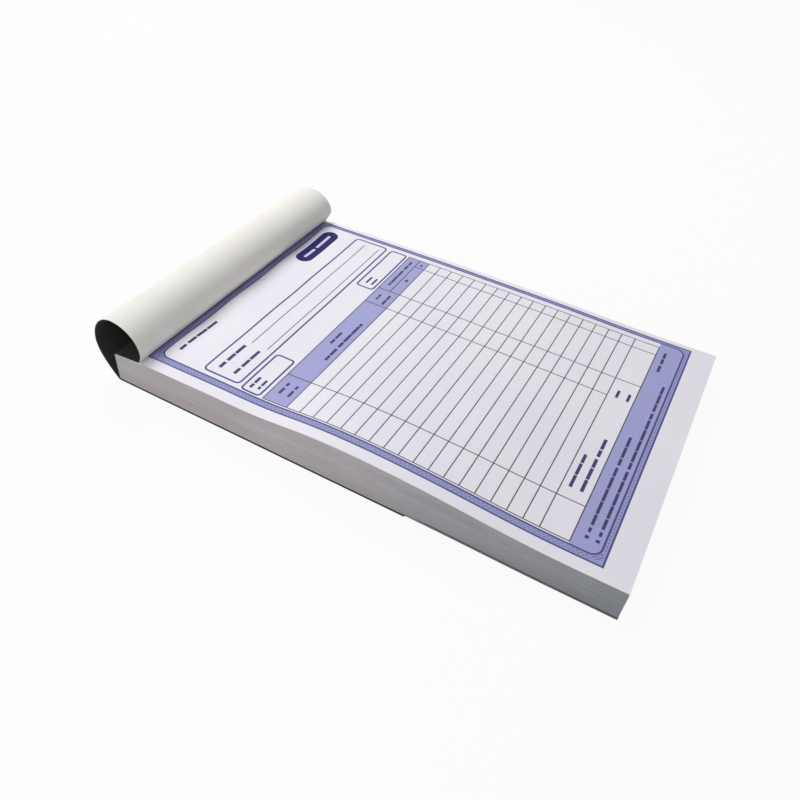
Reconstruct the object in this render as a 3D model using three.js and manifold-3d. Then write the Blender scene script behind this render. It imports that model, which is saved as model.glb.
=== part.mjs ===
// An invoice book lying open: a stapled pad of leaves in one wrap-around card cover,
// whose front flap is turned back over the bound head and tucked beneath the pad.
// Millimetres. +Y runs to the bound head, +Z up, z = 0 is the table, x = 0 the middle.
// Sections are drawn in (u, z), where u is the distance from the spine towards the foot.

import * as THREE from 'three';
import Module from 'manifold-3d';
import { mergeVertices } from 'three/addons/utils/BufferGeometryUtils.js';

const wasm = await Module();
wasm.setup();

// Cover card
const LENGTH = 216;
const WIDTH = 140;
const CARD = 0.35;
const FOLD_GAP = 0.3; // slit at each fold, so that the panels on both sides turn freely
const HEAD_MARGIN = 14.4; // depth of the strip that is stapled over the head of the pad

// Front flap: its loop over the head, cut into strips, and the panel tucked beneath
const BENDS = 3;
const BEND_STEPS = 11;
const CREASE_TRIM = 0.4; // length left out of the first strip at the crease, so that it can lean back
const LOOP_RISE = 16.2; // above the head strip's middle line
const LOOP_APEX = 2.6; // distance of the loop's highest line from the spine
const LOOP_BULGE = 0.75; // how far the loop leans over the page beyond its crease
const BULGE_HEIGHT = 4.6; // height above the crease where it leans out furthest
const LOOP_REACH = 9.25; // how far the loop stands behind the spine
const REACH_HEIGHT = 2; // height above the crease where it stands back furthest
const LOOP_LEAN = 0.58; // share of that height at which the run down to the table begins
const TUCK_START = 0.2; // distance behind the spine at which the flap turns beneath the pad
const UNDER_GAP = 0.45; // room between the tucked panel and the back cover, for the clinched wire

// Pad of leaves
const LEAF = 0.09;
const AIR = 0.035; // air between sheets that lie on each other
const BUNDLES = 21;
const LEAVES_PER_BUNDLE = 7;
const STUB_END = 14.9; // the leaves' stubs end here, at the line where the leaves fold up
const LEAF_START = 15.2;
const SHEET_INSET = 0.15; // leaves end this far inside the edge of the cover
const STAGGER = 0.12; // how far bundles lie out of line with each other
const STAGGER_TURN_X = 2.4; // radians from one bundle to the next in the wave that sets them out of line
const STAGGER_TURN_U = 1.7;
const HEAD_CLEARANCE = 0.05; // between the leaves' head edges and the spine
const STATIONS = 18; // cross lines along the swollen part of a leaf
const PRESS = 0.09; // share of its depth by which the staples press the pad down at the spine

// Swelling of the pad over its length, as the heights of its first three half waves
const NEAR_SWELL = [2.9, 0.3, -0.9];
const MIDDLE_SWELL = [-0.1, 0.35, 0.1];
const FAR_SWELL = [0.6, 0.4, 0];
const MIDDLE_X = 20; // the swelling of the near edge has died away here

// Beyond the tucked panel the pad sinks to the table
const SINK_DELAY = 4;
const SINK_RUN = 52;

// Staples of flattened wire
const WIRE_THICK = 0.3;
const WIRE_WIDE = 0.7;
const WIRE_CLEARANCE = 0.1;
const STAPLE_CROWN = 12;
const STAPLE_SPACING = 70;
const STAPLE_LINE = 7.2; // distance of the staples from the spine
const CLINCH = 4.4;

// Worked out from the sizes above
const HEAD_Y = LENGTH / 2;
const FLAP_LENGTH = LENGTH - HEAD_MARGIN;
const UNDERSIDE = CARD + UNDER_GAP;
const BUNDLE = LEAF * LEAVES_PER_BUNDLE;
const PAD_BASE = CARD + AIR;
const SET = ['original', 'duplicate', 'triplicate'];
const TOP_SET_BASE = PAD_BASE + BUNDLES * (BUNDLE + AIR);
const PAD_DEPTH = TOP_SET_BASE + SET.length * (LEAF + AIR);
const PAGE = UNDERSIDE + PAD_DEPTH;
const CREASE_U = HEAD_MARGIN + FOLD_GAP / 2;
const CREASE_Z = PAGE + CARD / 2;
const SPINE_TOP = UNDERSIDE + PAD_DEPTH * (1 - PRESS);
const LEG_OFFSET = (STAPLE_CROWN - WIRE_THICK) / 2;
const STAPLES = { near: -STAPLE_SPACING / 2, far: STAPLE_SPACING / 2 };

const X = new THREE.Vector3(1, 0, 0);
const Y = new THREE.Vector3(0, 1, 0);
const Z = new THREE.Vector3(0, 0, 1);

const colours = { cream: '#e6e4df', black: '#20221f', paper: '#f0ecf4', edge: '#b9b4b6', steel: '#b8babd' };

function material(colour, roughness, metalness = 0) {
  return new THREE.MeshStandardMaterial({ color: colours[colour], roughness, metalness });
}

const book = new THREE.Group();

function addPiece(name, geometry, finish) {
  const mesh = new THREE.Mesh(geometry, finish);
  mesh.name = name;
  book.add(mesh);
  return mesh;
}

// Solid of one (u, z) section that runs across the book
function acrossBook(outline, width) {
  const shape = new THREE.Shape(outline.map(([u, z]) => new THREE.Vector2(HEAD_Y - u, z)));
  const geometry = new THREE.ExtrudeGeometry(shape, { depth: width, bevelEnabled: false });
  geometry.translate(0, 0, -width / 2);
  return geometry.applyMatrix4(new THREE.Matrix4().makeBasis(Y, Z, X));
}

function plate(fromU, toU, fromZ, toZ) {
  return acrossBook([[fromU, fromZ], [toU, fromZ], [toU, toZ], [fromU, toZ]], WIDTH);
}

// Height of a level of the pad at its head, where it slopes down to the spine
function headLevel(u, level) {
  return UNDERSIDE + level * pressAt(u);
}

function headPlate(fromU, toU, level, thickness, width) {
  return acrossBook([
    [fromU, headLevel(fromU, level)], [toU, headLevel(toU, level)],
    [toU, headLevel(toU, level) + thickness], [fromU, headLevel(fromU, level) + thickness],
  ], width);
}

// Joins and cuts
function toSolid(geometry) {
  const bare = geometry.clone();
  bare.deleteAttribute('normal');
  bare.deleteAttribute('uv');
  const merged = mergeVertices(bare);
  return new wasm.Manifold(new wasm.Mesh({
    numProp: 3,
    vertProperties: new Float32Array(merged.attributes.position.array),
    triVerts: new Uint32Array(merged.index.array),
  }));
}

function toGeometry(solid) {
  const mesh = solid.getMesh();
  const geometry = new THREE.BufferGeometry();
  geometry.setAttribute('position', new THREE.BufferAttribute(new Float32Array(mesh.vertProperties), 3));
  geometry.setIndex(new THREE.BufferAttribute(new Uint32Array(mesh.triVerts), 1));
  geometry.computeVertexNormals();
  return geometry;
}

// Holes for the staples' legs, from beneath the table to above the head
function legHoles() {
  const reach = PAGE + CARD;
  const hole = new THREE.BoxGeometry(
    WIRE_THICK + 2 * WIRE_CLEARANCE, WIRE_WIDE + 2 * WIRE_CLEARANCE, 2 * reach);
  const holes = [];
  for (const middle of Object.values(STAPLES)) {
    for (const side of [-1, 1]) {
      holes.push(toSolid(hole.clone().translate(middle + side * LEG_OFFSET, HEAD_Y - STAPLE_LINE, 0)));
    }
  }
  return holes;
}

const holes = legHoles();

function pierced(geometry) {
  return toGeometry(holes.reduce((solid, hole) => solid.subtract(hole), toSolid(geometry)));
}

// The front flap's middle line, from the crease over the head and down to the table
function loopPath() {
  const widest = new THREE.Vector2(CREASE_U + LOOP_BULGE, CREASE_Z + BULGE_HEIGHT);
  const back = new THREE.Vector2(-LOOP_REACH, CREASE_Z + REACH_HEIGHT);
  const top = CREASE_Z + LOOP_RISE;
  const path = new THREE.CurvePath();
  path.add(new THREE.QuadraticBezierCurve(
    new THREE.Vector2(CREASE_U, CREASE_Z),
    new THREE.Vector2(widest.x, CREASE_Z + BULGE_HEIGHT / 2),
    widest));
  path.add(new THREE.EllipseCurve(
    LOOP_APEX, widest.y, widest.x - LOOP_APEX, top - widest.y, 0, Math.PI / 2));
  path.add(new THREE.EllipseCurve(
    LOOP_APEX, back.y, LOOP_APEX - back.x, top - back.y, Math.PI / 2, Math.PI));
  path.add(new THREE.QuadraticBezierCurve(
    back,
    new THREE.Vector2(back.x, back.y * LOOP_LEAN),
    new THREE.Vector2(-TUCK_START, CARD / 2)));
  return path;
}

const loop = loopPath();
const loopLength = loop.getLength();
const tuckEnd = FLAP_LENGTH - loopLength - TUCK_START;

// One strip of the loop, between two folds
function bendStrip(index) {
  const trim = index === 0 ? CREASE_TRIM : FOLD_GAP / 2;
  const from = index / BENDS + trim / loopLength;
  const to = (index + 1) / BENDS - FOLD_GAP / 2 / loopLength;
  const outer = [];
  const inner = [];
  for (let step = 0; step <= BEND_STEPS; step++) {
    const t = THREE.MathUtils.lerp(from, to, step / BEND_STEPS);
    const middle = loop.getPoint(t);
    const along = loop.getTangent(t);
    const off = new THREE.Vector2(along.y, -along.x).multiplyScalar(CARD / 2);
    outer.push([middle.x + off.x, middle.y + off.y]);
    inner.unshift([middle.x - off.x, middle.y - off.y]);
  }
  return acrossBook([...outer, ...inner], WIDTH);
}

// Height of the pad's underside: carried by the tucked panel, then sinking to the table
function undersideAt(u) {
  const from = tuckEnd + SINK_DELAY;
  const sink = THREE.MathUtils.smoothstep(u, from, from + SINK_RUN);
  return UNDERSIDE * (1 - sink);
}

// Share of its full depth that the pad keeps under the staples' pull
function pressAt(u) {
  return 1 - PRESS * Math.max(0, 1 - u / HEAD_MARGIN);
}

function swellAt(u, waves) {
  const s = Math.max(0, (u - LEAF_START) / (LENGTH - LEAF_START));
  return waves.reduce((sum, height, i) => sum + height * Math.sin((i + 1) * Math.PI * s), 0);
}

function stationsOf(fromU, toU) {
  const stations = fromU < LEAF_START ? [fromU] : [];
  for (let i = 0; i <= STATIONS; i++) {
    const u = THREE.MathUtils.lerp(LEAF_START, LENGTH, i / STATIONS);
    stations.push(i === STATIONS ? toU : u);
  }
  return stations;
}

// A sheet or a bundle of sheets that follows the lie of the pad at its level
function sheet({ base, thickness, swell, fromU, toU, fromX, toX }) {
  const stations = stationsOf(fromU, toU);
  const columns = [[fromX, NEAR_SWELL], [MIDDLE_X, MIDDLE_SWELL], [toX, FAR_SWELL]];
  const positions = [];
  for (const u of stations) {
    for (const [x, waves] of columns) {
      const lie = undersideAt(u) + swell * swellAt(u, waves);
      const bottom = lie + base * pressAt(u);
      const top = lie + (base + thickness) * pressAt(u);
      positions.push(x, HEAD_Y - u, bottom, x, HEAD_Y - u, top);
    }
  }
  // each station has a bottom and a top corner in each column
  const perStation = 2 * columns.length;
  const far = perStation - 2;
  const last = perStation * (stations.length - 1);
  const faces = [];
  const quad = (a, b, c, d) => faces.push(a, b, c, a, c, d);
  for (let a = 0; a < last; a += perStation) {
    const b = a + perStation;
    quad(a, b, b + 1, a + 1);
    quad(a + far, a + far + 1, b + far + 1, b + far);
    for (let c = 0; c < far; c += 2) {
      quad(a + c + 1, b + c + 1, b + c + 3, a + c + 3);
      quad(a + c, a + c + 2, b + c + 2, b + c);
    }
  }
  for (let c = 0; c < far; c += 2) {
    quad(c, c + 1, c + 3, c + 2);
    quad(last + c, last + c + 2, last + c + 3, last + c + 1);
  }
  const geometry = new THREE.BufferGeometry();
  geometry.setAttribute('position', new THREE.Float32BufferAttribute(positions, 3));
  geometry.setIndex(faces);
  geometry.computeVertexNormals();
  return geometry;
}

function addCover() {
  const black = material('black', 0.55);
  const cream = material('cream', 0.7);
  const across = { fromX: -WIDTH / 2, toX: WIDTH / 2 };
  addPiece('cover_back', pierced(sheet(
    { base: 0, thickness: CARD, swell: 0, fromU: CARD, toU: LENGTH, ...across })), black);
  addPiece('cover_spine', plate(0, CARD, UNDERSIDE, SPINE_TOP + CARD), black);
  addPiece('cover_head_strip', pierced(headPlate(CARD, HEAD_MARGIN, PAD_DEPTH, CARD, WIDTH)), black);
  for (let i = 0; i < BENDS; i++) {
    addPiece(`cover_bend_${i + 1}`, bendStrip(i), cream);
  }
  addPiece('cover_flap', plate(FOLD_GAP / 2 - TUCK_START, tuckEnd, 0, CARD), cream);
}

function addPad() {
  const paper = material('paper', 0.8);
  const cut = material('edge', 0.85);
  const head = CARD + HEAD_CLEARANCE;
  for (let i = 0; i < BUNDLES; i++) {
    const slipX = STAGGER * Math.sin(STAGGER_TURN_X * i);
    const slipU = STAGGER * Math.cos(STAGGER_TURN_U * i);
    addPiece(`leaf_bundle_${String(i + 1).padStart(2, '0')}`, pierced(sheet({
      base: PAD_BASE + i * (BUNDLE + AIR),
      thickness: BUNDLE,
      swell: (i + 1) / (BUNDLES + 1),
      fromU: head,
      toU: LENGTH - SHEET_INSET + slipU,
      fromX: SHEET_INSET - WIDTH / 2 + slipX,
      toX: WIDTH / 2 - SHEET_INSET + slipX,
    })), cut);
  }
  const stubs = SET.length * LEAF;
  addPiece('top_set_stub', pierced(headPlate(
    head, STUB_END, TOP_SET_BASE, stubs, WIDTH - 2 * SHEET_INSET)), paper);
  SET.forEach((copy, i) => addPiece(`top_leaf_${copy}`, sheet({
    base: TOP_SET_BASE + (SET.length - 1 - i) * (LEAF + AIR),
    thickness: LEAF,
    swell: 1,
    fromU: LEAF_START,
    toU: LENGTH - SHEET_INSET,
    fromX: SHEET_INSET - WIDTH / 2,
    toX: WIDTH / 2 - SHEET_INSET,
  }), paper));
}

// A staple's crown lies on the head strip, and its legs are clinched beneath the back cover
function staple(middle) {
  const crownAt = STAPLE_LINE + WIRE_WIDE / 2;
  const top = headLevel(crownAt, PAD_DEPTH) + CARD + AIR + WIRE_THICK;
  const bottom = UNDERSIDE - AIR - WIRE_THICK;
  const out = STAPLE_CROWN / 2;
  const tip = out - CLINCH;
  const right = [
    [out, top], [out, bottom], [tip, bottom], [tip, bottom + WIRE_THICK],
    [out - WIRE_THICK, bottom + WIRE_THICK], [out - WIRE_THICK, top - WIRE_THICK],
  ];
  const left = right.map(([x, z]) => [-x, z]).reverse();
  const shape = new THREE.Shape([...right, ...left].map(([x, z]) => new THREE.Vector2(x, z)));
  const geometry = new THREE.ExtrudeGeometry(shape, { depth: WIRE_WIDE, bevelEnabled: false });
  geometry.rotateX(Math.PI / 2);
  return geometry.translate(middle, HEAD_Y - STAPLE_LINE + WIRE_WIDE / 2, 0);
}

function addStaples() {
  const steel = material('steel', 0.3, 0.9);
  for (const [name, middle] of Object.entries(STAPLES)) {
    addPiece(`staple_${name}`, staple(middle), steel);
  }
}

addCover();
addPad();
addStaples();

export default book;
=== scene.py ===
"""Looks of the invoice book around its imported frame. Shapes are worked out in millimetres and made in metres.

Sections of the cover are drawn in (u, z): u is the distance from the spine towards the foot, z the height.
"""
import math

import bpy
import numpy as np
from mathutils import Matrix, Vector


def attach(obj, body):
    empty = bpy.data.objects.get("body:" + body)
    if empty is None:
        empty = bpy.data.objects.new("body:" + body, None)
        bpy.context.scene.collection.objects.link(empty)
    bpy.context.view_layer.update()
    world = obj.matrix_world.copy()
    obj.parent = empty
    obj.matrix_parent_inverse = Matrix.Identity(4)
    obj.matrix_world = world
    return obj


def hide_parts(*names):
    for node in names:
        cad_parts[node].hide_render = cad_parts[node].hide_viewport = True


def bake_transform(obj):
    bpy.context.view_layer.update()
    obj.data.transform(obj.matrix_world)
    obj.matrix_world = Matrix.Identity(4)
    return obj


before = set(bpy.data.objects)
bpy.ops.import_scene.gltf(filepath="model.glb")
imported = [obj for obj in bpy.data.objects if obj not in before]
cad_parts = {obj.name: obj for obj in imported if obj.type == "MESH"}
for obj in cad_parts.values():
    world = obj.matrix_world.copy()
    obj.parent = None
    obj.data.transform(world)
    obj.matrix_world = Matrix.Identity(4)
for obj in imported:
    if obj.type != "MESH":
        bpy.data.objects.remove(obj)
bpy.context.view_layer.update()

MM = 0.001

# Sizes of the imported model
LENGTH = 216
WIDTH = 140
CARD = 0.35
HEAD_MARGIN = 14.4
UNDERSIDE = 0.8  # how high the back cover lies on the tucked flap
PAD_DEPTH = 14.725
PRESS = 0.09  # share of the pad's depth that the staples take away at the spine
PAGE = UNDERSIDE + PAD_DEPTH
CREASE_Z = PAGE + CARD / 2
TUCK_START = 0.2  # the flap folds in beneath the pad this far behind the spine
LOOP_LENGTH = 64.41
TUCK_END = 136.99
STRIP = LOOP_LENGTH / 3
REACH_HEIGHT = 2  # height over the crease at which the loop reaches furthest behind the spine
LOOP_LEAN = 0.58  # share of that point's height down to which the loop's back stays upright
LEAF = 0.09
AIR = 0.035
BUNDLES = 21
LEAVES_PER_BUNDLE = 7
PAD_BASE = CARD + AIR
BUNDLE_PITCH = LEAF * LEAVES_PER_BUNDLE + AIR
TOP_SET_BASE = PAD_BASE + BUNDLES * BUNDLE_PITCH
LEAF_START = 15.2
PAD_HEAD = 0.4
SHEET_INSET = 0.15
# Past the end of the tucked flap the pad sinks to the table
SINK_DELAY = 4
SINK_RUN = 52
# Heights of the waves that the pad's top makes along the near edge, along MIDDLE_X and along the far edge
NEAR_SWELL = (2.9, 0.3, -0.9)
MIDDLE_SWELL = (-0.1, 0.35, 0.1)
FAR_SWELL = (0.6, 0.4, 0)
MIDDLE_X = 20

# Shapes that only the looks have
CREASE_U = 13.75  # where the page meets the loop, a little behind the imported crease
# The loop's section at the near end and at the far end: rise, apex, bulge, bulge height, and the share of
# that height at which it turns upright
NEAR_SECTION = (16.2, 2.6, 1.55, 4.6, 0.5)
FAR_SECTION = (15.1, 5.2, 3.08, 5.9, 0.8)

FOLD_RADIUS = 0.5
REACHES = (2.0, 14.0)  # range in which the loop's reach behind the spine is looked for
HALVINGS = 40
WRAP_TURN = 0.9  # how far from the spine's corners the card starts to turn
LIGHT_LAYER = 0.35  # where the flap's light layer ends, from 1 at its cream face to -1 at its black one
WRAP_LIGHT_LAYER = 0.95
SEAM_BACK = 1.2  # the flap's card starts this far before its crease, on the head strip
CREASE_RUN = 2.5  # length of the loop past its crease that the first piece's range takes in
BLEND_RUN = 10  # length of the tucked panel past its fold that the last piece's range takes in
# Where the card's shape is worked out: across the book, and along its line
COLUMN_X = np.linspace(-WIDTH / 2, WIDTH / 2, 11)
LOOP_STEP = 0.4
SEAM_MARGIN = 0.05
FOLD_STATIONS = 8
PANEL_STATIONS = 70
BACK_STATIONS = 110
CORNER_STATIONS = 9
HEAD_STATIONS = 12
SAG = (72, 18, 1.2)  # hollow of the near edge: where, how far it runs, how deep
SWELL_SOFTNESS = 8.0  # how gradually the swelling changes its slope across the page at MIDDLE_X
FOLD_DIP = 0.12
FOLD_DIP_RUN = 1.8
# Low waves of the page in front of the loop
BUCKLE_HEIGHT = 0.45
BUCKLE_PITCH = 37
BUCKLE_START = -50
BUCKLE_RISE = 4
BUCKLE_FADE = 16
# Stacks of leaves: rows and columns of their faces, and how far edges of single leaves stray
BUNDLE_GRID = (62, 15)
TOP_LEAF_GRID = (90, 41)
STRAY = 0.02
ROW_CROWDING = 1.5
BUNDLE_GAP = 0.004
SHARP_ANGLE = math.radians(35)
STREAK_SHIFT = 0.37  # how far the streaks of one kind of cut edge are moved from those of the last
# From where to where along the book the pad's cut edge gets painted shade, darker and cooler towards the foot,
# and its lowest leaves get painted shade, dark past the tucked flap's end
PAINTED_FOOT_SHADE_AT_Y = (20, -100)
PAINTED_GAP_SHADE_AT_Y = (-26, -40)
INK_SOFTNESS = 0.16


# Node graphs
class Graph:
    """One material's nodes, with short calls for the sums that masks need."""

    def __init__(self, name):
        self.material = bpy.data.materials.new(name)
        self.material.use_nodes = True
        self.tree = self.material.node_tree
        self.tree.nodes.clear()
        self.shader = self.node("ShaderNodeBsdfPrincipled")
        output = self.node("ShaderNodeOutputMaterial")
        self.tree.links.new(self.shader.outputs[0], output.inputs["Surface"])
        place = self.node("ShaderNodeTexCoord").outputs["Object"]
        self.place = self.vector("SCALE", place, scale=1 / MM)

    def node(self, kind):
        return self.tree.nodes.new(kind)

    def put(self, socket, value):
        if isinstance(value, bpy.types.NodeSocket):
            self.tree.links.new(value, socket)
        else:
            socket.default_value = value

    def math(self, operation, a, b=None, clamp=False):
        node = self.node("ShaderNodeMath")
        node.operation = operation
        node.use_clamp = clamp
        self.put(node.inputs[0], a)
        if b is not None:
            self.put(node.inputs[1], b)
        return node.outputs[0]

    def vector(self, operation, a, b=None, scale=None):
        node = self.node("ShaderNodeVectorMath")
        node.operation = operation
        self.put(node.inputs[0], a)
        if b is not None:
            self.put(node.inputs[1], b)
        if scale is not None:
            self.put(node.inputs["Scale"], scale)
        return node.outputs["Value" if operation == "LENGTH" else "Vector"]

    def split(self, vector):
        node = self.node("ShaderNodeSeparateXYZ")
        self.put(node.inputs[0], vector)
        return node.outputs

    def mix(self, factor, a, b, blend="MIX"):
        node = self.node("ShaderNodeMix")
        node.data_type = "RGBA"
        node.blend_type = blend
        self.put(node.inputs["Factor"], factor)
        self.put(node.inputs[6], a)
        self.put(node.inputs[7], b)
        return node.outputs[2]

    def ramp(self, factor, low, high, to_low=0.0, to_high=1.0):
        node = self.node("ShaderNodeMapRange")
        for socket, value in zip(node.inputs, (factor, low, high, to_low, to_high)):
            self.put(socket, value)
        return node.outputs[0]

    def noise(self, per_mm, detail=2.0, roughness=0.5):
        """Noise whose features are about 1 / per_mm millimetres long in x, y and z."""
        node = self.node("ShaderNodeTexNoise")
        self.put(node.inputs["Vector"], self.vector("MULTIPLY", self.place, per_mm))
        node.inputs["Scale"].default_value = 1.0
        node.inputs["Detail"].default_value = detail
        node.inputs["Roughness"].default_value = roughness
        return node.outputs["Fac"]

    def bump(self, height, depth_mm):
        node = self.node("ShaderNodeBump")
        node.inputs["Strength"].default_value = 1.0
        node.inputs["Distance"].default_value = depth_mm * MM
        self.put(node.inputs["Height"], height)
        self.put(self.shader.inputs["Normal"], node.outputs[0])

    def smallest(self, distances):
        result = distances[0]
        for distance in distances[1:]:
            result = self.math("MINIMUM", result, distance)
        return result

    def both(self, a, b):
        return self.math("MAXIMUM", a, b)

    def covered(self, distance):
        """Share of ink at a signed distance in mm from the edge of what is printed."""
        return self.math("SUBTRACT", 0.5, self.math("DIVIDE", distance, INK_SOFTNESS), clamp=True)

    def box(self, flat, x0, x1, y0, y1, radius=0.0):
        """Signed distance from a rounded rectangle."""
        middle = ((x0 + x1) / 2, (y0 + y1) / 2, 0)
        half = ((x1 - x0) / 2 - radius, (y1 - y0) / 2 - radius, 0)
        off = self.vector("ABSOLUTE", self.vector("SUBTRACT", flat, middle))
        off = self.vector("SUBTRACT", off, half)
        outside = self.vector("LENGTH", self.vector("MAXIMUM", off, (0, 0, 0)))
        x, y, _ = self.split(off)
        inside = self.math("MINIMUM", self.math("MAXIMUM", x, y), 0.0)
        return self.math("SUBTRACT", self.math("ADD", outside, inside), radius)

    def outline(self, distance, width, at=0.0):
        """Line of a width along an edge, or along a line that runs at a distance from it."""
        off = self.math("ABSOLUTE", self.math("SUBTRACT", distance, at))
        return self.math("SUBTRACT", off, width / 2)


def srgb(red, green, blue):
    """Linear colour from an eight-bit one."""
    def linear(value):
        share = value / 255
        return share / 12.92 if share <= 0.04045 else ((share + 0.055) / 1.055) ** 2.4
    return (linear(red), linear(green), linear(blue), 1.0)


# Materials
def cream_card():
    g = Graph("card_cream")
    mottle = g.noise((0.05, 0.05, 0.05), detail=3)
    fibre = g.noise((2.2, 3.5, 3.5), detail=3, roughness=0.65)
    base = g.mix(g.ramp(mottle, 0.35, 0.65), srgb(235, 233, 226), srgb(239, 237, 231))
    g.put(g.shader.inputs["Base Color"], g.mix(g.ramp(fibre, 0.55, 0.8, 0, 0.25), base, srgb(214, 211, 203)))
    g.put(g.shader.inputs["Roughness"], g.ramp(fibre, 0.3, 0.7, 0.62, 0.78))
    g.shader.inputs["Specular IOR Level"].default_value = 0.3
    g.bump(fibre, 0.012)
    return g.material


def black_card():
    g = Graph("card_black")
    mottle = g.noise((0.08, 0.08, 0.08), detail=3)
    grain = g.noise((3.0, 3.0, 3.0), detail=2, roughness=0.6)
    base = g.mix(g.ramp(mottle, 0.3, 0.7), srgb(62, 66, 63), srgb(67, 71, 68))
    g.put(g.shader.inputs["Base Color"], g.mix(g.ramp(grain, 0.6, 0.85, 0, 0.3), base, srgb(74, 77, 75)))
    g.put(g.shader.inputs["Roughness"], g.ramp(grain, 0.3, 0.7, 0.42, 0.6))
    g.shader.inputs["Specular IOR Level"].default_value = 0.35
    g.bump(grain, 0.01)
    return g.material


def card_edge():
    g = Graph("card_edge")
    fibre = g.noise((1.5, 4.0, 9.0), detail=3, roughness=0.7)
    tone = g.mix(g.ramp(fibre, 0.35, 0.7), srgb(168, 166, 160), srgb(214, 212, 206))
    g.put(g.shader.inputs["Base Color"], tone)
    g.shader.inputs["Roughness"].default_value = 0.85
    g.bump(fibre, 0.03)
    return g.material


def plain_paper():
    g = Graph("paper_plain")
    g.put(g.shader.inputs["Base Color"], paper_colour(g))
    g.shader.inputs["Roughness"].default_value = 0.8
    g.shader.inputs["Specular IOR Level"].default_value = 0.25
    return g.material


def paper_colour(g):
    mottle = g.noise((0.03, 0.03, 0.03), detail=4)
    fibre = g.noise((1.6, 2.4, 2.4), detail=3, roughness=0.7)
    base = g.mix(g.ramp(mottle, 0.3, 0.7), srgb(236, 233, 243), srgb(242, 239, 247))
    g.bump(fibre, 0.008)
    return g.mix(g.ramp(fibre, 0.5, 0.85, 0, 0.25), base, srgb(222, 218, 232))


def cut_paper(variant, lowest=False):
    """Cut edges of stacked leaves: fine streaks along the pad, with painted shade that makes them darker and
    cooler towards the foot.

    The lowest leaves are darkened with painted shade where the cover beneath them sinks away past the tucked
    flap's end, standing for the shadow in the gap between them.
    """
    g = Graph("paper_cut_lowest_painted_shade" if lowest else f"paper_cut_{variant}")
    _, y, z = g.split(g.vector("ADD", g.place, (0, 0, STREAK_SHIFT * variant)))
    drift = g.math("MULTIPLY", g.noise((0.05, 0.05, 0.9)), 0.5)
    leaves = g.math("PINGPONG", g.math("ADD", z, drift), LEAF / 2)
    streak = g.noise((0.08, 0.08, 7.0), detail=4, roughness=0.7)
    patch = g.noise((0.025, 0.025, 0.12), detail=2)
    tone = g.mix(g.ramp(patch, 0.3, 0.7), srgb(188, 181, 184), srgb(203, 197, 200))
    tone = g.mix(g.ramp(streak, 0.35, 0.75, 0, 0.35), tone, srgb(176, 169, 174))
    tone = g.mix(g.ramp(leaves, 0.0, 0.02, 0.2, 0), tone, srgb(132, 125, 130))
    # painted shade: the cut edge is multiplied darker and cooler towards the foot
    tone = g.mix(g.ramp(y, *PAINTED_FOOT_SHADE_AT_Y), tone, srgb(227, 239, 244), "MULTIPLY")
    # painted shade: the lowest bundle's cut edge turns dark past the tucked flap's end, for the shadow in the
    # gap above the sinking cover
    if lowest:
        tone = g.mix(g.ramp(y, *PAINTED_GAP_SHADE_AT_Y, 0, 0.8), tone, srgb(58, 56, 56))
    g.put(g.shader.inputs["Base Color"], tone)
    g.shader.inputs["Roughness"].default_value = 0.9
    g.shader.inputs["Specular IOR Level"].default_value = 0.1
    g.bump(streak, 0.03)
    return g.material


def wire_steel():
    g = Graph("wire_steel")
    drawn = g.noise((0.4, 6.0, 6.0), detail=3, roughness=0.6)
    g.put(g.shader.inputs["Base Color"], g.mix(drawn, srgb(168, 170, 172), srgb(208, 210, 212)))
    g.shader.inputs["Metallic"].default_value = 1.0
    g.put(g.shader.inputs["Roughness"], g.ramp(drawn, 0.2, 0.8, 0.25, 0.42))
    g.bump(drawn, 0.01)
    return g.material


# The printed form, in millimetres on the page
BORDER_OUTER = (-64.7, 67.4, -97.8, 94.4)
BORDER_INNER = (-61.0, 65.0, -95.0, 90.3)
BORDER_ROUND = 3.5
TITLE = (29.2, 60.5, 78.8, 87.5)
BUYER_FRAME = (-58.6, 62.5, 52.8, 70.3)
NUMBER_FRAME = (-60.0, -35.2, 42.0, 50.6)
DATE_FRAME = (27.5, 62.0, 41.5, 50.0)
TABLE = (-60.2, 62.0, -84.8, 40.0)
ROW_PITCH = 6.056
LAST_ROW = -74.1
ROWS = 18
HEADER_FOOT = LAST_ROW + (ROWS - 1) * ROW_PITCH
HEADER_MIDDLE = 33.9
THIN = 0.43
THICK = 0.85
FRAMES = ((BUYER_FRAME, 2.0), (NUMBER_FRAME, 1.5), (DATE_FRAME, 1.5))  # with the rounding of their corners
OUTER_LINE = 0.7
INNER_LINE = 0.75
INNER_LINE_AT = 0.35
DASHED_LINE = 0.3
DASHED_AT = (1.4, 2.3)
DASH_PITCH = 0.85
COLUMNS = ((-43.0, -84.8, 40.0), (18.5, LAST_ROW, 40.0), (31.0, -84.8, 40.0), (55.8, -84.8, HEADER_MIDDLE))
RULES = ((-35.0, 59.0, 64.0), (-35.0, 59.0, 56.0))
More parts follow.
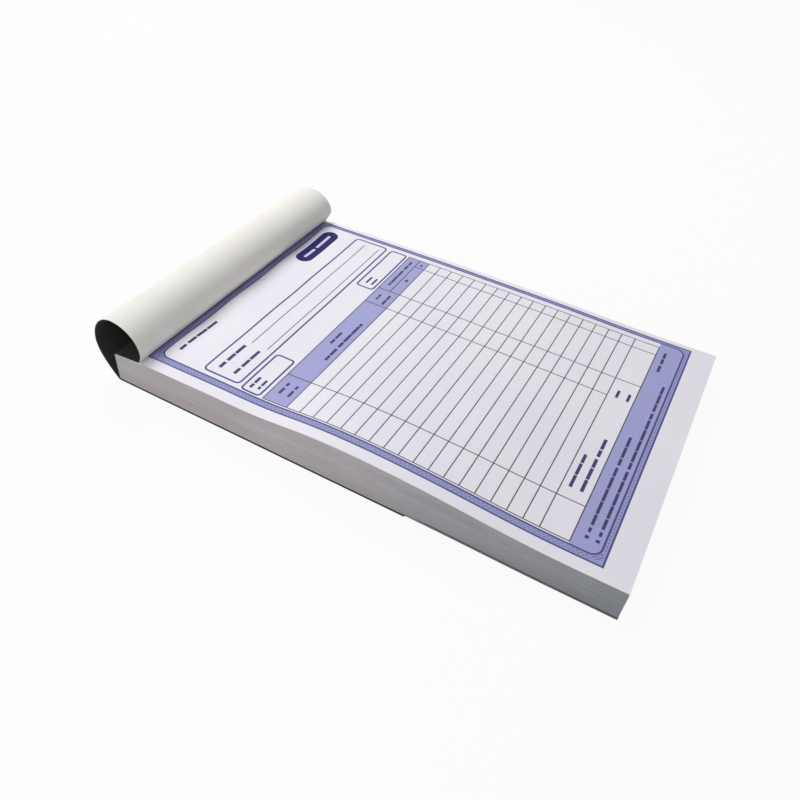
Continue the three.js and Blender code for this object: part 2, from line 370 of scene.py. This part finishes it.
# Bars that stand where a form has its words: from x, to x, at y, height of a word. A bar is two thirds of it.
BARS = (
    (-55.7, -30.0, 85.8, 2.2),
    (-54.8, -37.5, 65.3, 2.4), (-54.8, -37.5, 58.0, 2.2),
    (-57.8, -49.8, 47.8, 1.9), (-57.0, -51.0, 44.5, 1.8),
    (30.0, 36.5, 46.7, 1.6), (30.0, 36.5, 43.8, 1.5),
    (-55.8, -47.5, 36.2, 1.8), (-55.8, -47.5, 32.0, 1.8),
    (-17.0, -8.0, 36.2, 1.8), (-27.8, 2.2, 32.0, 2.0),
    (22.0, 26.5, 36.2, 1.6), (19.9, 27.9, 32.0, 1.8),
    (35.2, 58.5, 36.9, 1.7), (41.8, 44.0, 31.5, 1.8), (57.4, 59.2, 31.5, 1.6),
    (-38.3, -17.0, -77.2, 1.9), (-37.8, -6.0, -81.4, 2.0),
    (18.0, 25.0, -77.8, 1.8), (18.0, 25.0, -82.3, 1.8),
    (-53.0, -0.5, -89.2, 1.7), (-53.0, 36.3, -93.0, 1.7),
    (44.7, 59.2, -88.3, 1.8),
)
BULLETS = ((-56.0, -54.6, -89.9, -88.5), (-56.0, -54.6, -93.7, -92.3))
TITLE_BARS = ((33.4, 42.4, 82.4, 83.9), (44.0, 56.4, 82.4, 83.9))
# The bars are broken at gaps whose distances vary a little
GAP_PITCH = 6.2
GAP_HALF = 0.3
GAP_SHIFT = 0.9
GAP_TURN = 0.83
SHORTEST_BAR = 1.6
BAR_ROUND = 0.3
TITLE_BAR_ROUND = 0.5

TINT = srgb(166, 168, 216)
BAND = srgb(158, 160, 204)
TABLE_INK = srgb(66, 66, 78)
BORDER_INK = srgb(80, 80, 142)
WORD_INK = srgb(66, 65, 112)
TITLE_INK = srgb(28, 24, 98)
TITLE_PALE = srgb(214, 212, 232)


def ends_of_bar(low, high):
    """Ends of a bar, moved to the gap next to them where only a scrap of the bar would be left."""
    x = np.arange(low, high, 0.02)
    passed = np.floor((x + GAP_SHIFT * np.sin(GAP_TURN * x)) / GAP_PITCH)
    for gap in x[1:][np.diff(passed) > 0]:
        if gap - low < SHORTEST_BAR < high - gap:
            low = gap
        elif high - gap < SHORTEST_BAR < gap - low:
            high = gap
    return low, high


def form_ink(g, colour):
    """Lays the form's tints and lines over a colour."""
    flat = g.vector("MULTIPLY", g.place, (1, 1, 0))
    x, y, _ = g.split(flat)
    outer = g.box(flat, *BORDER_OUTER)
    inner = g.box(flat, *BORDER_INNER, BORDER_ROUND)
    table = g.box(flat, *TABLE)

    band = g.both(outer, g.math("MULTIPLY", inner, -1.0))
    header = g.both(table, g.math("SUBTRACT", HEADER_FOOT, y))
    foot = g.both(inner, g.math("SUBTRACT", y, TABLE[2]))
    tint = g.covered(g.smallest([header, foot]))
    colour = g.mix(tint, colour, TINT)
    colour = g.mix(g.covered(band), colour, BAND)

    rows = g.math("SUBTRACT", g.math("PINGPONG", g.math("SUBTRACT", y, LAST_ROW), ROW_PITCH / 2), THIN / 2)
    rows = g.both(rows, g.math("SUBTRACT", LAST_ROW - 1, y))
    rows = g.both(rows, g.math("SUBTRACT", y, HEADER_FOOT + 1))
    thin = [g.both(rows, table), g.outline(table, THIN)]
    for at, low, high in COLUMNS:
        thin.append(g.box(flat, at - THIN / 2, at + THIN / 2, low, high))
    for low, high, at in RULES:
        thin.append(g.box(flat, low, high, at - THIN / 2, at + THIN / 2))
    thin.append(g.box(flat, COLUMNS[2][0], TABLE[1], HEADER_MIDDLE - THIN / 2, HEADER_MIDDLE + THIN / 2))
    colour = g.mix(g.covered(g.smallest(thin)), colour, TABLE_INK)

    dash = g.math("SUBTRACT", 0.5, g.math("PINGPONG", g.math("ADD", x, y), DASH_PITCH))
    dashed = [g.outline(inner, DASHED_LINE, at) for at in DASHED_AT]
    thick = [g.both(g.both(g.smallest(dashed), dash), outer)]
    thick.append(g.outline(outer, OUTER_LINE, -OUTER_LINE / 2))
    thick.append(g.outline(inner, INNER_LINE, INNER_LINE_AT))
    for box, radius in FRAMES:
        thick.append(g.outline(g.box(flat, *box, radius), THICK))
    colour = g.mix(g.covered(g.smallest(thick)), colour, BORDER_INK)

    bars = []
    for low, high, at, height in BARS:
        bars.append(g.box(flat, *ends_of_bar(low, high), at - height / 3, at + height / 3, BAR_ROUND))
    shift = g.math("MULTIPLY", g.math("SINE", g.math("MULTIPLY", x, GAP_TURN)), GAP_SHIFT)
    gaps = g.math("SUBTRACT", GAP_HALF, g.math("PINGPONG", g.math("ADD", x, shift), GAP_PITCH / 2))
    words = g.both(g.smallest(bars), gaps)
    words = g.smallest([words] + [g.box(flat, *bullet) for bullet in BULLETS])
    colour = g.mix(g.covered(words), colour, WORD_INK)

    colour = g.mix(g.covered(g.box(flat, *TITLE, (TITLE[3] - TITLE[2]) / 2)), colour, TITLE_INK)
    title = g.smallest([g.box(flat, *bar, TITLE_BAR_ROUND) for bar in TITLE_BARS])
    return g.mix(g.covered(title), colour, TITLE_PALE)


def form_paper():
    g = Graph("paper_form")
    g.put(g.shader.inputs["Base Color"], form_ink(g, paper_colour(g)))
    g.shader.inputs["Roughness"].default_value = 0.75
    g.shader.inputs["Specular IOR Level"].default_value = 0.25
    return g.material


# Shapes
def smoothstep(x, low, high):
    t = np.clip((x - low) / (high - low), 0, 1)
    return t * t * (3 - 2 * t)


def underside_at(u):
    start = TUCK_END + SINK_DELAY
    return UNDERSIDE * (1 - smoothstep(u, start, start + SINK_RUN))


def press_at(u):
    return 1 - PRESS * np.maximum(0, 1 - u / HEAD_MARGIN)


def swell_at(u, waves):
    s = np.maximum(0, (u - LEAF_START) / (LENGTH - LEAF_START))
    return sum(height * np.sin((i + 1) * np.pi * s) for i, height in enumerate(waves))


def head_middle(u):
    """Middle of the card's thickness on the head strip."""
    return UNDERSIDE + PAD_DEPTH * press_at(u) + CARD / 2


def bezier(a, b, c, count=60):
    t = np.linspace(0, 1, count)[:, None]
    return (1 - t) ** 2 * np.array(a) + 2 * t * (1 - t) * np.array(b) + t * t * np.array(c)


def quarter(centre, across, up, start, count=160):
    t = np.linspace(start, start + math.pi / 2, count)
    return np.stack([centre[0] + across * np.cos(t), centre[1] + up * np.sin(t)], 1)


def joined(parts):
    return np.concatenate([parts[0]] + [part[1:] for part in parts[1:]])


def travelled(line):
    return np.r_[0, np.cumsum(np.hypot(*np.diff(line, axis=0).T))]


def loop_line(section, reach):
    rise, apex, bulge, bulge_height, upright = section
    widest = (CREASE_U + bulge, CREASE_Z + bulge_height)
    back = (-reach, CREASE_Z + REACH_HEIGHT)
    top = CREASE_Z + rise
    return joined([
        bezier((CREASE_U, CREASE_Z), (widest[0], CREASE_Z + bulge_height * upright), widest),
        quarter((apex, widest[1]), widest[0] - apex, top - widest[1], 0),
        quarter((apex, back[1]), apex - back[0], top - back[1], math.pi / 2),
        bezier(back, (back[0], back[1] * LOOP_LEAN), (-TUCK_START, CARD / 2)),
    ])


def loop_of_full_length(section):
    """The loop whose reach behind the spine makes it as long as the card is, found by halving a range."""
    low, high = REACHES
    for _ in range(HALVINGS):
        reach = (low + high) / 2
        if travelled(loop_line(section, reach))[-1] < LOOP_LENGTH:
            low = reach
        else:
            high = reach
    return loop_line(section, reach)


def along(line, distances):
    s = travelled(line)
    return np.stack([np.interp(distances, s, line[:, 0]), np.interp(distances, s, line[:, 1])], 1)


def flap_line(share):
    """The flap's middle line at a share of the book's width, with its two folds rounded."""
    section = tuple(np.array(NEAR_SECTION) + share * (np.array(FAR_SECTION) - np.array(NEAR_SECTION)))
    loop = loop_of_full_length(section)
    first = CREASE_U - SEAM_BACK
    up, down = along(loop, [FOLD_RADIUS, LOOP_LENGTH - FOLD_RADIUS])
    corner = (CREASE_U, head_middle(CREASE_U))
    before = (CREASE_U - FOLD_RADIUS, head_middle(CREASE_U - FOLD_RADIUS))
    after = (FOLD_RADIUS - TUCK_START, CARD / 2)
    body = along(loop, np.arange(FOLD_RADIUS, LOOP_LENGTH - FOLD_RADIUS, LOOP_STEP))
    panel = np.linspace(after[0], TUCK_END, PANEL_STATIONS)
    return joined([
        np.array([(first, head_middle(first)), before]),
        bezier(before, corner, up, FOLD_STATIONS),
        np.concatenate([body, [down]]),
        bezier(down, (-TUCK_START, CARD / 2), after, FOLD_STATIONS),
        np.stack([panel, np.full(PANEL_STATIONS, CARD / 2)], 1),
    ])


def wrap_line():
    """Back cover, spine and head strip in one, from the foot round to the flap's crease."""
    lowest = UNDERSIDE + CARD / 2
    middle = CARD / 2
    back = np.linspace(LENGTH, WRAP_TURN, BACK_STATIONS)
    back = np.stack([back, underside_at(back) + CARD / 2], 1)
    spine = np.array([(middle, lowest + WRAP_TURN), (middle, head_middle(middle) - WRAP_TURN)])
    head = np.linspace(WRAP_TURN, CREASE_U - SEAM_BACK, HEAD_STATIONS)
    head = np.stack([head, head_middle(head)], 1)
    return joined([
        back,
        bezier(back[-1], (middle, lowest), spine[0], CORNER_STATIONS),
        spine,
        bezier(spine[1], (middle, head_middle(middle)), head[0], CORNER_STATIONS),
        head,
    ])


def card_solid(name, lines, xs, light=LIGHT_LAYER):
    """Closed card along middle lines, one for each x. The face on the right of the way along it is cream.

    Its cut edge is light next to the cream face and black next to the black one. Its slots are the cream
    face, the black face with the black part of the edge, and the light part of the edge.
    """
    layers = []
    for line in lines:
        way = np.gradient(line, axis=0)
        way /= np.linalg.norm(way, axis=1)[:, None]
        off = np.stack([way[:, 1], -way[:, 0]], 1) * CARD / 2
        layers.append([line + off * depth for depth in (1, light, -1)])
    stations = len(lines[0])
    vertices = []
    for x, faces_of_card in zip(xs, layers):
        for face in faces_of_card:
            vertices.extend((x * MM, (LENGTH / 2 - u) * MM, z * MM) for u, z in face)
    faces, slots = [], []

    def at(column, layer, station):
        return (column * 3 + layer) * stations + station

    def add(a, b, c, d, slot):
        faces.append((a, b, c, d))
        slots.append(slot)

    far, end = len(xs) - 1, stations - 1
    for i in range(end):
        for c in range(far):
            add(at(c, 0, i), at(c, 0, i + 1), at(c + 1, 0, i + 1), at(c + 1, 0, i), 0)
            add(at(c, 2, i), at(c + 1, 2, i), at(c + 1, 2, i + 1), at(c, 2, i + 1), 1)
    for layer, slot in ((0, 2), (1, 1)):
        below = layer + 1
        for i in range(end):
            j = i + 1
            add(at(0, layer, i), at(0, below, i), at(0, below, j), at(0, layer, j), slot)
            add(at(far, layer, i), at(far, layer, j), at(far, below, j), at(far, below, i), slot)
        for c in range(far):
            d = c + 1
            add(at(c, layer, 0), at(d, layer, 0), at(d, below, 0), at(c, below, 0), slot)
            add(at(c, layer, end), at(c, below, end), at(d, below, end), at(d, layer, end), slot)
    return new_piece(name, vertices, faces, slots)


def new_piece(name, vertices, faces, slots):
    mesh = bpy.data.meshes.new(name)
    mesh.from_pydata(vertices, [], faces)
    mesh.polygons.foreach_set("material_index", slots)
    mesh.update()
    mesh.shade_smooth()
    mesh.set_sharp_from_angle(angle=SHARP_ANGLE)
    piece = bpy.data.objects.new(name, mesh)
    bpy.context.scene.collection.objects.link(piece)
    return piece


def dress(piece, *materials):
    """Gives a piece its materials, one for each slot."""
    for i, material in enumerate(materials):
        if i < len(piece.data.materials):
            piece.data.materials[i] = material
        else:
            piece.data.materials.append(material)


def point(u, z):
    return Vector((0, LENGTH / 2 - u, z)) * MM


# The cover
NODES = ("cover_bend_1", "cover_bend_2", "cover_bend_3", "cover_flap")
# Distances along the flap's line at which its four pieces meet, and the range along it that make_flap hands to
# bend_range for each of them
SEAMS = [SEAM_BACK + STRIP * (i + 0.5) for i in range(3)]
BENDS_FROM = (SEAM_BACK, *SEAMS)
BENDS_TO = (SEAM_BACK + CREASE_RUN, *SEAMS[1:], SEAM_BACK + LOOP_LENGTH + BLEND_RUN)


def cut_lines(lines, start, end):
    """The part of each line between two distances along it, with as many stations in each."""
    whole = travelled(lines[0])
    inner = whole[(whole > start + SEAM_MARGIN) & (whole < end - SEAM_MARGIN)]
    shares = np.r_[start, inner, end] / whole[-1]
    return [along(line, shares * travelled(line)[-1]) for line in lines]


def bend_range(lines, start, stop):
    """The two points at which a range along the lines starts and stops, inside it at every x."""
    starts = np.array([along(line, [start])[0] for line in lines])
    stops = np.array([along(line, [stop])[0] for line in lines])
    way = stops.mean(0) - starts.mean(0)
    way /= np.linalg.norm(way)
    low, high = (starts @ way).max() + CARD, (stops @ way).min() - CARD
    origin = starts.mean(0) - way * (starts.mean(0) @ way)
    return point(*(origin + way * low)), point(*(origin + way * high))


def make_wrap(card):
    wrap = card_solid("cover_wrap", [wrap_line()] * len(COLUMN_X), COLUMN_X, light=WRAP_LIGHT_LAYER)
    dress(wrap, *card)
    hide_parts("cover_back", "cover_spine", "cover_head_strip")
    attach(wrap, "pad")


def make_flap(card):
    lines = [flap_line(share) for share in np.linspace(0, 1, len(COLUMN_X))]
    ends = [0.0] + SEAMS + [travelled(lines[0])[-1]]
    for i, (bends_from, bends_to) in enumerate(zip(BENDS_FROM, BENDS_TO)):
        piece = card_solid(f"flap_card_{i + 1}", cut_lines(lines, ends[i], ends[i + 1]), COLUMN_X)
        dress(piece, *card)
        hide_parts(NODES[i])
        start, end = bend_range(lines, bends_from, bends_to)
        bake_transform(piece)


# The pad
rng = np.random.default_rng(11)


def soft_positive(d):
    return (d + np.sqrt(d * d + SWELL_SOFTNESS * SWELL_SOFTNESS)) / 2


def swell_over(u, x):
    near, middle, far = (swell_at(u, waves) for waves in (NEAR_SWELL, MIDDLE_SWELL, FAR_SWELL))
    at, run, depth = SAG
    near = near - depth * np.exp(-((u - at) / run) ** 2)
    to_near = soft_positive(MIDDLE_X - x) / soft_positive(MIDDLE_X + WIDTH / 2)
    to_far = soft_positive(x - MIDDLE_X) / soft_positive(WIDTH / 2 - MIDDLE_X)
    return middle + (near - middle) * to_near + (far - middle) * to_far


def buckle(u, x):
    """Low waves of the leaves just in front of the fold line, where the staples hold them."""
    rise = smoothstep(u, LEAF_START, LEAF_START + BUCKLE_RISE)
    fade = np.exp(-np.maximum(u - LEAF_START, 0) / BUCKLE_FADE)
    return BUCKLE_HEIGHT * rise * fade * (1 + np.cos(2 * np.pi * (x - BUCKLE_START) / BUCKLE_PITCH))


def dip(u):
    """How far the leaves are pulled down where they fold up from beneath the head strip."""
    return FOLD_DIP * (1 - smoothstep(u, LEAF_START, LEAF_START + FOLD_DIP_RUN))


def lie(u, x, level):
    """Height of a level of the pad. The swelling grows from nothing on the back cover to its full size."""
    share = np.clip((level - PAD_BASE) / (TOP_SET_BASE - PAD_BASE), 0, 1)
    raised = swell_over(u, x) + buckle(u, x) - dip(u)
    return underside_at(u) + level * press_at(u) + share * raised


def wander(count, size):
    """Slow waves along an edge, different for each leaf."""
    t = np.linspace(0, 1, count)
    return size * sum(rng.normal() / turns * np.sin(2 * np.pi * (turns * t + rng.random()))
                      for turns in (1, 2, 3, 5))


def stack_rows(from_u, rows):
    """Distances from the spine of a stack's rows of faces. They lie close together near the fold line."""
    past_fold = rows if from_u >= LEAF_START else rows - 1
    u = LEAF_START + (LENGTH - SHEET_INSET - LEAF_START) * np.linspace(0, 1, past_fold) ** ROW_CROWDING
    return u if past_fold == rows else np.r_[from_u, u]


def stack(name, base, thickness, leaves, from_u, rows, columns):
    """Leaves that lie on each other, as one closed piece with a small step from leaf to leaf round its edges.

    Its slots are the top, the cut sides and the bottom.
    """
    u = stack_rows(from_u, rows)
    share = np.linspace(0, 1, columns)
    ring = [(i, 0) for i in range(rows)]
    ring += [(rows - 1, j) for j in range(1, columns)]
    ring += [(i, columns - 1) for i in range(rows - 2, -1, -1)]
    ring += [(0, j) for j in range(columns - 2, 0, -1)]
    ring_rows, ring_columns = np.array(ring).T
    vertices, rings, grids = [], [], []

    def add(points):
        start = len(vertices)
        vertices.extend(tuple(p) for p in points)
        return start

    for k in range(leaves):
        near = -WIDTH / 2 + SHEET_INSET + rng.normal() * STRAY + wander(rows, STRAY / 2)
        far = WIDTH / 2 - SHEET_INSET + rng.normal() * STRAY + wander(rows, STRAY / 2)
        foot = rng.normal() * STRAY + wander(columns, STRAY / 2)
        near, far = np.maximum(near, -WIDTH / 2), np.minimum(far, WIDTH / 2)
        x = near[:, None] + (far - near)[:, None] * share[None, :]
        along_u = np.repeat(u[:, None], columns, 1)
        along_u[-1] += np.minimum(foot, SHEET_INSET)
        for edge_of_leaf in (0, 1):
            level = base + thickness * (k + edge_of_leaf) / leaves
            z = lie(along_u, x, level)
            grid = np.stack([x, LENGTH / 2 - along_u, z], 2) * MM
            first, last = k == 0 and edge_of_leaf == 0, k == leaves - 1 and edge_of_leaf == 1
            if first or last:
                start = add(grid.reshape(-1, 3))
                grids.append(start)
                rings.append([start + i * columns + j for i, j in ring])
            else:
                start = add(grid[ring_rows, ring_columns])
                rings.append(list(range(start, start + len(ring))))
    faces, slots = [], []
    for lower, upper in zip(rings, rings[1:]):
        for n in range(len(ring)):
            m = (n + 1) % len(ring)
            faces.append((lower[n], lower[m], upper[m], upper[n]))
            slots.append(1)
    for i in range(rows - 1):
        for j in range(columns - 1):
            a, b = i * columns + j, (i + 1) * columns + j
            c, d = b + 1, a + 1
            faces += [tuple(grids[1] + v for v in (a, b, c, d)), tuple(grids[0] + v for v in (a, d, c, b))]
            slots += [0, 2]
    return new_piece(name, vertices, faces, slots)


def make_pad(form, plain, cuts, lowest_cut_painted_shade):
    for i in range(BUNDLES):
        piece = stack(f"leaves_{i + 1:02d}", PAD_BASE + i * BUNDLE_PITCH, BUNDLE_PITCH - BUNDLE_GAP,
                      LEAVES_PER_BUNDLE, PAD_HEAD, *BUNDLE_GRID)
        dress(piece, form if i == BUNDLES - 1 else plain, cuts[i % len(cuts)] if i else lowest_cut_painted_shade, plain)
        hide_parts(f"leaf_bundle_{i + 1:02d}")
        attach(piece, "pad")
    for i, copy in enumerate(("triplicate", "duplicate", "original")):
        piece = stack(f"leaf_{copy}", TOP_SET_BASE + i * (LEAF + AIR), LEAF, 1, LEAF_START, *TOP_LEAF_GRID)
        dress(piece, form, cuts[i], plain)
        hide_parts(f"top_leaf_{copy}")
        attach(piece, copy)


# Stage, light and camera, in metres
FLOOR_WIDTH = 4.0
FLOOR_DROP = 0.0001
FLOOR_WHITENESS = 0.94  # share of plain white in what the camera sees of the floor; the rest shows shadows
WORLD_LIGHT = 0.35
VIEW_ANGLES = (-62.714, 42.679, 3.93)  # azimuth, elevation and roll, in degrees
VIEW_AIM = (-0.02055, 0.01273, 0)
VIEW_DISTANCE = 0.31293


def add_floor():
    half, z = FLOOR_WIDTH / 2, -FLOOR_DROP
    mesh = bpy.data.meshes.new("floor")
    corners = [(-half, -half, z), (half, -half, z), (half, half, z), (-half, half, z)]
    mesh.from_pydata(corners, [], [(0, 1, 2, 3)])
    floor = bpy.data.objects.new("floor", mesh)
    bpy.context.scene.collection.objects.link(floor)
    material = bpy.data.materials.new("floor_white")
    material.use_nodes = True
    tree = material.node_tree
    tree.nodes.clear()
    lit = tree.nodes.new("ShaderNodeBsdfDiffuse")
    lit.inputs["Color"].default_value = (0.72, 0.72, 0.72, 1)
    white = tree.nodes.new("ShaderNodeEmission")
    white.inputs["Strength"].default_value = 1.0
    path = tree.nodes.new("ShaderNodeLightPath")
    share = tree.nodes.new("ShaderNodeMath")
    share.operation = "MULTIPLY"
    share.inputs[1].default_value = FLOOR_WHITENESS
    tree.links.new(path.outputs["Is Camera Ray"], share.inputs[0])
    mixed = tree.nodes.new("ShaderNodeMixShader")
    tree.links.new(share.outputs[0], mixed.inputs[0])
    tree.links.new(lit.outputs[0], mixed.inputs[1])
    tree.links.new(white.outputs[0], mixed.inputs[2])
    output = tree.nodes.new("ShaderNodeOutputMaterial")
    tree.links.new(mixed.outputs[0], output.inputs["Surface"])
    floor.data.materials.append(material)


def set_world(strength):
    world = bpy.data.worlds.new("studio")
    bpy.context.scene.world = world
    world.use_nodes = True
    tree = world.node_tree
    tree.nodes.clear()
    path = tree.nodes.new("ShaderNodeLightPath")
    seen = tree.nodes.new("ShaderNodeMath")
    seen.operation = "MAXIMUM"
    tree.links.new(path.outputs["Is Camera Ray"], seen.inputs[0])
    more = tree.nodes.new("ShaderNodeMath")
    more.operation = "MAXIMUM"
    tree.links.new(path.outputs["Is Glossy Ray"], more.inputs[0])
    tree.links.new(path.outputs["Is Transmission Ray"], more.inputs[1])
    tree.links.new(more.outputs[0], seen.inputs[1])
    soft = tree.nodes.new("ShaderNodeBackground")
    soft.inputs["Strength"].default_value = strength
    soft.inputs["Color"].default_value = (1, 1, 1, 1)
    white = tree.nodes.new("ShaderNodeBackground")
    white.inputs["Strength"].default_value = 1.0
    white.inputs["Color"].default_value = (1, 1, 1, 1)
    mixed = tree.nodes.new("ShaderNodeMixShader")
    tree.links.new(seen.outputs[0], mixed.inputs[0])
    tree.links.new(soft.outputs[0], mixed.inputs[1])
    tree.links.new(white.outputs[0], mixed.inputs[2])
    output = tree.nodes.new("ShaderNodeOutputWorld")
    tree.links.new(mixed.outputs[0], output.inputs["Surface"])


def add_lamp(name, place, size, watts):
    lamp = bpy.data.lights.new(name, "AREA")
    lamp.shape = "DISK"
    lamp.size = size
    lamp.energy = watts
    holder = bpy.data.objects.new(name, lamp)
    holder.location = place
    holder.rotation_euler = Vector(place).to_track_quat("Z", "Y").to_euler()
    bpy.context.scene.collection.objects.link(holder)


def add_camera():
    azimuth, elevation, roll = (math.radians(angle) for angle in VIEW_ANGLES)
    back = Vector((math.sin(azimuth) * math.cos(elevation), -math.cos(azimuth) * math.cos(elevation),
                   math.sin(elevation)))
    right = (-back).cross(Vector((0, 0, 1))).normalized()
    up = back.cross(right)
    turned_right = right * math.cos(roll) + up * math.sin(roll)
    turned_up = up * math.cos(roll) - right * math.sin(roll)
    data = bpy.data.cameras.new("camera")
    camera = bpy.data.objects.new("camera", data)
    turned = Matrix((turned_right, turned_up, back)).transposed().to_4x4()
    camera.matrix_world = Matrix.Translation(Vector(VIEW_AIM) + back * VIEW_DISTANCE) @ turned
    data.sensor_width = 36
    data.lens = 33.13
    data.shift_x = 0.0345
    data.shift_y = -0.0044
    data.clip_start = 0.01
    bpy.context.scene.collection.objects.link(camera)
    bpy.context.scene.camera = camera


card = cream_card(), black_card(), card_edge()
make_wrap(card)
make_flap(card)
form, plain = form_paper(), plain_paper()
# the lowest bundle's cut edges get a material with painted shade
make_pad(form, plain, [cut_paper(variant) for variant in range(3)], cut_paper(0, lowest=True))
dress(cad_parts["top_set_stub"], form)
steel = wire_steel()
for name in ("staple_near", "staple_far"):
    dress(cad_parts[name], steel)

add_floor()
set_world(WORLD_LIGHT)
add_lamp("key", (0.31, 0.50, 0.70), 0.5, 5.6)
add_lamp("fill", (-0.26, 0.07, 0.09), 0.2, 0.175)
add_camera()
bpy.context.scene.view_settings.view_transform = "Standard"
